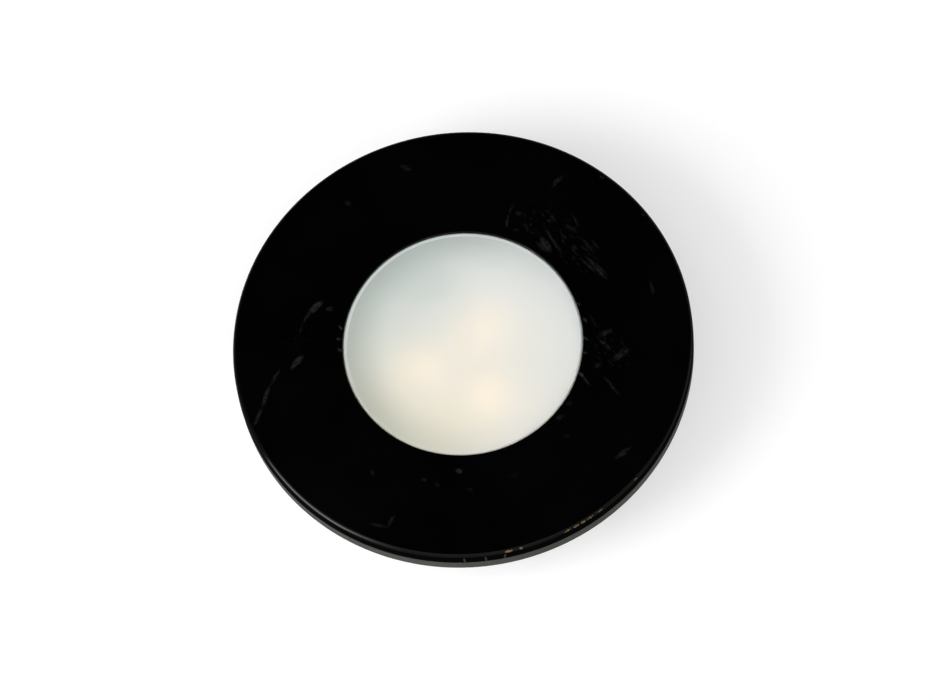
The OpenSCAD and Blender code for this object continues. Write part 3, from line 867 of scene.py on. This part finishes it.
def build_trim_ring(finish):
    """The ring's section, turned, with its three screw bosses."""
    small = 0.12 * MM
    skirt_foot = BOSS_Z + 0.1 * MM
    nest_foot = BOSS_Z + 0.6 * MM
    ring = turned(soft_outline(
        (WINDOW_R, GASKET_TOP_Z, small),
        (WINDOW_R, FACE_Z, 0.07 * MM),
        (TRIM_R, FACE_Z, FRONT_EDGE_R),
        (TRIM_R, SEAT_Z, 0.2 * MM),
        (TRIM_R - SEAT_LIP_W, SEAT_Z, small),
        (TRIM_R - SEAT_LIP_W, RIM_Z, small),
        (SKIRT_R, RIM_Z, small),
        (SKIRT_R, skirt_foot, 0.3 * MM),
        (SKIRT_R - SKIRT_T, skirt_foot, small),
        (SKIRT_R - SKIRT_T, RIM_Z, small),
        (NEST_R + NEST_T, RIM_Z, small),
        (NEST_R + NEST_T, nest_foot, small),
        (NEST_R, nest_foot, small),
        (NEST_R, GASKET_TOP_Z, small),
        steps=6,
    ), 360)
    bosses = []
    for angle in map(math.radians, (0, 120, 240)):
        bosses.append(turned(soft_outline(
            (PILOT_R, BOSS_Z, small),
            (BOSS_R, BOSS_Z, small),
            (BOSS_R, RIM_Z + small, 0),
            (PILOT_R, RIM_Z + small, 0),
        ), 48, (SCREW_CIRCLE_R * math.cos(angle), SCREW_CIRCLE_R * math.sin(angle))))
    whole = combined(shell_mesh("ring", ring), shell_mesh("bosses", joined(*bosses)), "UNION")
    place_piece("trim_ring", whole, finish, "black_trim", "bezel")


def build_seal(finish):
    inner_r = TRIM_R - SEAT_LIP_W
    band = turned(soft_outline(
        (inner_r, SEAL_LOW_Z, 0.3 * MM),
        (SEAL_R, SEAL_LOW_Z, 0.3 * MM),
        (SEAL_R, SEAT_Z, 0.15 * MM),
        (inner_r, SEAT_Z, 0.15 * MM),
    ), 360)
    place_piece("soft_seal", shell_mesh("soft_seal", band), finish, "grey_seal", "panel_seal")


def build_lens(finish):
    """A window on a flange, dished at its back."""
    small = 0.1 * MM
    flange_top = LENS_BACK_Z + LENS_FLANGE_T
    dish_r = LENS_R - 1.0 * MM
    dish_z = LENS_BACK_Z + 0.9 * MM
    window = turned(soft_outline(
        (0, dish_z, 0),
        (dish_r, dish_z, 0.4 * MM),
        (dish_r, LENS_BACK_Z, small),
        (LENS_FLANGE_R, LENS_BACK_Z, small),
        (LENS_FLANGE_R, flange_top, small),
        (LENS_R, flange_top, small),
        (LENS_R, FACE_Z, 0.4 * MM),
        (0, FACE_Z, 0),
        steps=6,
    ), 256)
    place_piece("frosted_lens", shell_mesh("frosted_lens", window), finish, "frosted_lens", "lens")


def bar(low, high, taper=0.0):
    """A straight bar between two corners; taper draws its upper face in on every side."""
    vertices = []
    for z, inset in ((low[2], 0.0), (high[2], taper)):
        xs = (low[0] + inset, high[0] - inset)
        ys = (low[1] + inset, high[1] - inset)
        vertices += [(xs[0], ys[0], z), (xs[1], ys[0], z), (xs[1], ys[1], z), (xs[0], ys[1], z)]
    sides = [(i, (i + 1) % 4, 4 + (i + 1) % 4, 4 + i) for i in range(4)]
    return vertices, [(3, 2, 1, 0), (4, 5, 6, 7), *sides]


def thread(r, core_r, pitch, low, high):
    """A ridge wound round an upright axis, with its crest at r, that tapers off at both ends."""
    steps = 20
    root = core_r * 0.9
    crest_low, crest_high, root_high = 0.42 * pitch, 0.58 * pitch, 0.94 * pitch
    least_growth = 0.05
    turns = (high - low - pitch) / pitch
    count = int(turns * steps)
    vertices = []
    for k in range(count + 1):
        a = math.tau * k / steps
        z = low + pitch * k / steps
        growth = max(least_growth, min(1.0, k / steps, (count - k) / steps))
        crest = root + (r - root) * growth
        profile = ((root, 0.0), (crest, crest_low), (crest, crest_high), (root, root_high))
        vertices += [(x * math.cos(a), x * math.sin(a), z + up) for x, up in profile]
    faces = [(3, 2, 1, 0), tuple(range(4 * count, 4 * count + 4))]
    for k in range(0, 4 * count, 4):
        faces += [(k + i, k + (i + 1) % 4, k + 4 + (i + 1) % 4, k + 4 + i) for i in range(4)]
    return vertices, faces


def pan_screw(name, head_z, seat_z, tip_z):
    """A pan-head screw on the axis: head, cross recess, shank and thread."""
    up = 1 if tip_z > head_z else -1
    length = abs(tip_z - seat_z)
    core_r = SCREW_R - 0.25 * MM
    body = turned(soft_outline(
        (0, 0, 0),
        (SCREW_HEAD_R, 0, 0.6 * MM),
        (SCREW_HEAD_R, SCREW_HEAD_H, 0.1 * MM),
        (core_r, SCREW_HEAD_H, 0.1 * MM),
        (core_r, SCREW_HEAD_H + length, 0.3 * MM),
        (0, SCREW_HEAD_H + length, 0),
    ), 64)
    deep, reach, width, taper = 1.0 * MM, 1.4 * MM, 0.36 * MM, 0.1 * MM
    screw = shell_mesh(name, body)
    for x, y in ((reach, width), (width, reach)):
        arm = bar((-x, -y, -deep), (x, y, deep), taper)
        screw = combined(screw, shell_mesh("cross", arm), "DIFFERENCE")
    gap = 0.1 * MM
    ridge = thread(SCREW_R, core_r, THREAD_PITCH, SCREW_HEAD_H + gap, SCREW_HEAD_H + length - gap)
    screw = combined(screw, shell_mesh("ridge", ridge), "UNION")
    screw.transform(Matrix.Translation((0, 0, head_z)) @ Matrix.Diagonal((1, 1, up, 1)))
    tidy_mesh(screw)
    return screw


def build_bezel_screws(finish):
    screw = pan_screw("bezel_screw", SCREW_LOW.z, SCREW_LOW.z + SCREW_HEAD_H, SCREW_HIGH.z)
    set_round("ring_screws", screw, 3, SCREW_CIRCLE_R, 0, finish, "plated_screw", "bezel_screw")


def build_board_screws(finish):
    top = BOARD_SCREW_HIGH.z
    screw = pan_screw("board_screw", top, top - SCREW_HEAD_H, BOARD_SCREW_LOW.z)
    angle = math.degrees(math.atan2(BOARD_SCREW_PLACE.y, BOARD_SCREW_PLACE.x))
    circle_r = math.hypot(BOARD_SCREW_PLACE.x, BOARD_SCREW_PLACE.y)
    set_round("engine_screws", screw, 2, circle_r, angle, finish, "plated_screw", "board_screw")


def build_clip_rivets(finish):
    """Rivets that lie level: a domed head outside, and a tail spread inside the wall."""
    inner, outer = -RIVET_HIGH.x, -RIVET_LOW.x
    head_r = (RIVET_HIGH.y - RIVET_LOW.y) / 2
    neck = outer - RIVET_HEAD_H
    rivet = shell_mesh("rivet", turned(soft_outline(
        (0, inner + 0.25 * MM, 0),
        (RIVET_R * 0.6, inner + 0.25 * MM, 0.1 * MM),
        (RIVET_R * 0.9, inner, 0.1 * MM),
        (RIVET_TAIL_R, inner, 0.3 * MM),
        (RIVET_TAIL_R, inner + RIVET_TAIL_H, 0.05 * MM),
        (RIVET_R, inner + RIVET_TAIL_H, 0),
        (RIVET_R, neck, 0),
        (head_r, neck, 0.12 * MM),
        (head_r, outer, RIVET_HEAD_H * 0.8),
        (0, outer, 0),
    ), 48))
    height = (RIVET_LOW.z + RIVET_HIGH.z) / 2
    laid_down = Matrix.Rotation(math.radians(90), 4, "Y")
    rivet.transform(Matrix.Translation((-CLIP_POCKET_R, 0, height)) @ laid_down)
    tidy_mesh(rivet)
    set_round("leaf_rivets", rivet, 3, CLIP_POCKET_R, 60, finish, "rivet_metal", "clip_rivet")


def build_leaf_clips(finish):
    leaf = softened("spring_clip_2", 0.07 * MM)
    leaf.transform(Matrix.Translation((-CLIP_POCKET_R, 0, 0)) @ Matrix.Rotation(math.pi, 4, "Z"))
    set_round("leaf_clips", leaf, 3, CLIP_POCKET_R, 60, finish, "spring_steel", "spring_clip")


def build_emitters(base_finish, dome_finish):
    """A ceramic base with a raised dam, and the phosphor under its dome."""
    dome_r = DOME_TOP_Z - BOARD_TOP_Z - EMITTER_BASE_H
    base_top = BOARD_TOP_Z + EMITTER_BASE_H
    half = LED_SIDE / 2
    slab = bar((-half, -half, BOARD_TOP_Z), (half, half, base_top - 0.1 * MM), 0.08 * MM)
    dam = turned(soft_outline(
        (dome_r - 0.1 * MM, base_top - 0.2 * MM, 0),
        (dome_r + 0.2 * MM, base_top - 0.2 * MM, 0),
        (dome_r + 0.2 * MM, base_top, 0.05 * MM),
        (dome_r - 0.1 * MM, base_top, 0),
    ), 48)
    dome = turned(soft_outline(
        (0, base_top - 0.15 * MM, 0),
        (dome_r, base_top - 0.15 * MM, 0),
        (dome_r, base_top, 0),
        (dome_r, DOME_TOP_Z, dome_r * 0.99),
        (0, DOME_TOP_Z, 0),
        steps=14,
    ), 48)
    base_shape = combined(shell_mesh("emitter_base", slab), shell_mesh("dam", dam), "UNION")
    dome_shape = shell_mesh("emitter_dome", dome)
    set_round("emitter_bases", base_shape, 3, LED_CIRCLE_R, 60, base_finish, "emitter", "led")
    set_round("emitter_domes", dome_shape, 3, LED_CIRCLE_R, 60, dome_finish, "emitter", "led")


def build_rear_cup(finish):
    """The housing, with the edges of its rear face rounded as a casting's are."""
    def on_rear_face(edge):
        level = max(vertex.co.z for vertex in edge.verts) < 0.01 * MM
        return level and edge.is_convex and edge.calc_length() > 0.1 * MM

    mesh = softened("housing", 0.12 * MM, clamp=False, picked=on_rear_face)
    place_piece("rear_cup", mesh, finish, "cast_aluminium", "housing")


def build_gland(finish):
    """The cable's rubber gland, with its edges rounded."""
    mesh = softened("cable_grommet", 0.1 * MM)
    place_piece("gland", mesh, finish, "black_rubber", "cable_grommet")


# Stage

def add_floor():
    """A pale floor that takes the shadow; a glow that lights nothing lifts it to white in view."""
    side = 1.2
    mesh = bpy.data.meshes.new("floor")
    corners = [(-side, -side, 0), (side, -side, 0), (side, side, 0), (-side, side, 0)]
    mesh.from_pydata(corners, [], [(0, 1, 2, 3)])
    floor = added("floor", mesh)
    finish = Finish(
        "floor", Base_Color=grey(0.6), Roughness=0.9, Specular_IOR_Level=0.0, Emission_Strength=1.0
    )
    rays = ("Is Camera Ray", "Is Glossy Ray", "Is Transmission Ray")
    seen = largest([finish.node("ShaderNodeLightPath", output=ray) for ray in rays])
    finish.set(Emission_Color=finish.blend(seen, grey(0), grey(0.48)))
    floor.data.materials.append(finish.material)


def add_softbox(name, azimuth, elevation, distance, size, power):
    """A square area lamp that faces the light; its azimuth counts from +X."""
    data = bpy.data.lights.new(name, "AREA")
    data.size = size
    data.energy = power
    lamp = added(name, data)
    a, e = math.radians(azimuth), math.radians(elevation)
    out = Vector((math.cos(a) * math.cos(e), math.sin(a) * math.cos(e), math.sin(e)))
    lamp.location = out * distance
    lamp.rotation_euler = out.to_track_quat("Z", "Y").to_euler()


def add_world():
    """A studio white at its sides and dark overhead, where the gloss black face looks."""
    world = bpy.data.worlds.new("studio")
    bpy.context.scene.world = world
    world.use_nodes = True
    studio = Graph(world.node_tree)
    place = studio.node("ShaderNodeTexCoord", output="Generated")
    height = studio.node("ShaderNodeSeparateXYZ", None, place, output="Z")
    tone = studio.node("ShaderNodeValToRGB", None, height)
    stops = tone.socket.node.color_ramp.elements
    stops[0].position, stops[0].color = 0.0, grey(1.0)
    stops[1].position, stops[1].color = 0.8, grey(0.004)
    background = studio.node("ShaderNodeBackground", Color=tone, Strength=0.9)
    studio.plug(background, studio.tree.nodes.new("ShaderNodeOutputWorld").inputs["Surface"])


bpy.context.scene.view_settings.view_transform = "Standard"
add_camera()
add_world()
add_floor()
add_softbox("key", azimuth=250, elevation=66, distance=1.0, size=1.4, power=7.3)
add_softbox("side", azimuth=203, elevation=36, distance=0.9, size=0.52, power=5.6)
add_softbox("fill", azimuth=-20, elevation=25, distance=1.0, size=1.3, power=2.1)

screw_plate = bright_plate("screw_plate", (0.66, 0.68, 0.7, 1), (0.66, 0.64, 0.56, 1))
build_trim_ring(plated_black())
build_seal(cut_sponge())
build_lens(frosted())
build_rear_cup(cast_metal())
build_gland(soft_rubber("gland_rubber", 0.012))
build_leaf_clips(sprung_steel())
build_clip_rivets(bright_plate("rivet_plate", (0.7, 0.69, 0.66, 1), (0.62, 0.6, 0.56, 1)))
build_bezel_screws(screw_plate)
build_board_screws(screw_plate)
build_emitters(ceramic(), phosphor())

package = moulded_package()
finishes = {
    "lens_gasket": soft_rubber("gasket_rubber", 0.03),
    "reflector": white_moulding(),
    "led_board": solder_mask(),
    "thermal_pad": soft_rubber("pad_silicone", 0.2),
    "wire_terminal": ceramic("terminal_plastic", (0.82, 0.82, 0.8, 1)),
    "bridge_rectifier": package,
    "current_regulator": package,
    "input_capacitor": ceramic("capacitor_ceramic", (0.42, 0.3, 0.2, 1)),
    "sense_resistor_1": package,
    "sense_resistor_2": package,
}
for name, finish in finishes.items():
    nodes[name].data.materials.clear()
    nodes[name].data.materials.append(finish.material)
